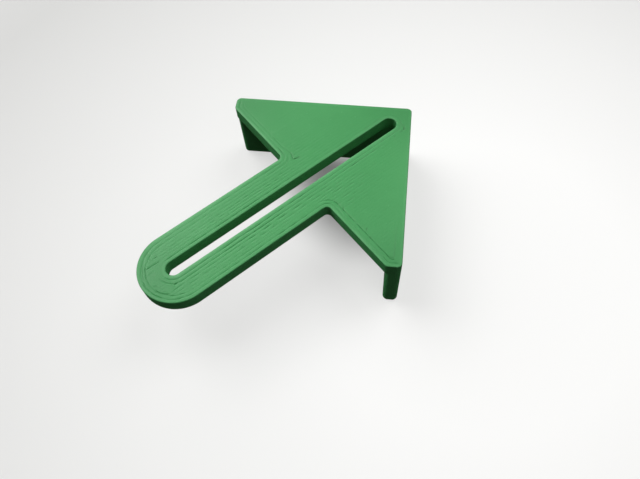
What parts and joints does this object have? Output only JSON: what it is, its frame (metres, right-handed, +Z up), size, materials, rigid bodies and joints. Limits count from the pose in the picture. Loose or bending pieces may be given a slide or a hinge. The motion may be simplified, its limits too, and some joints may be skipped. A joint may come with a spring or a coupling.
{
  "type": "center finder",
  "caption": "Corner center finder: a flat triangular head on a right-angle fence, with a long slotted blade that lies over the diagonal of square stock for marking its center.",
  "frame": {"origin": "inner corner of the two fences on the plate's underside, where the corner of the stock goes", "axes": "+Z up, square to the plate; the fences stand on the +X and +Y sides of the origin, and the blade runs along (-1, -1, 0)"},
  "size_m": [0.0329, 0.0329, 0.0101],
  "materials": {
    "printed_green_plastic": "satin green filament plastic with fine printed lines"
  },
  "bodies": {
    "root": {"center_finder": "printed_green_plastic"}
  },
  "joints": []
}
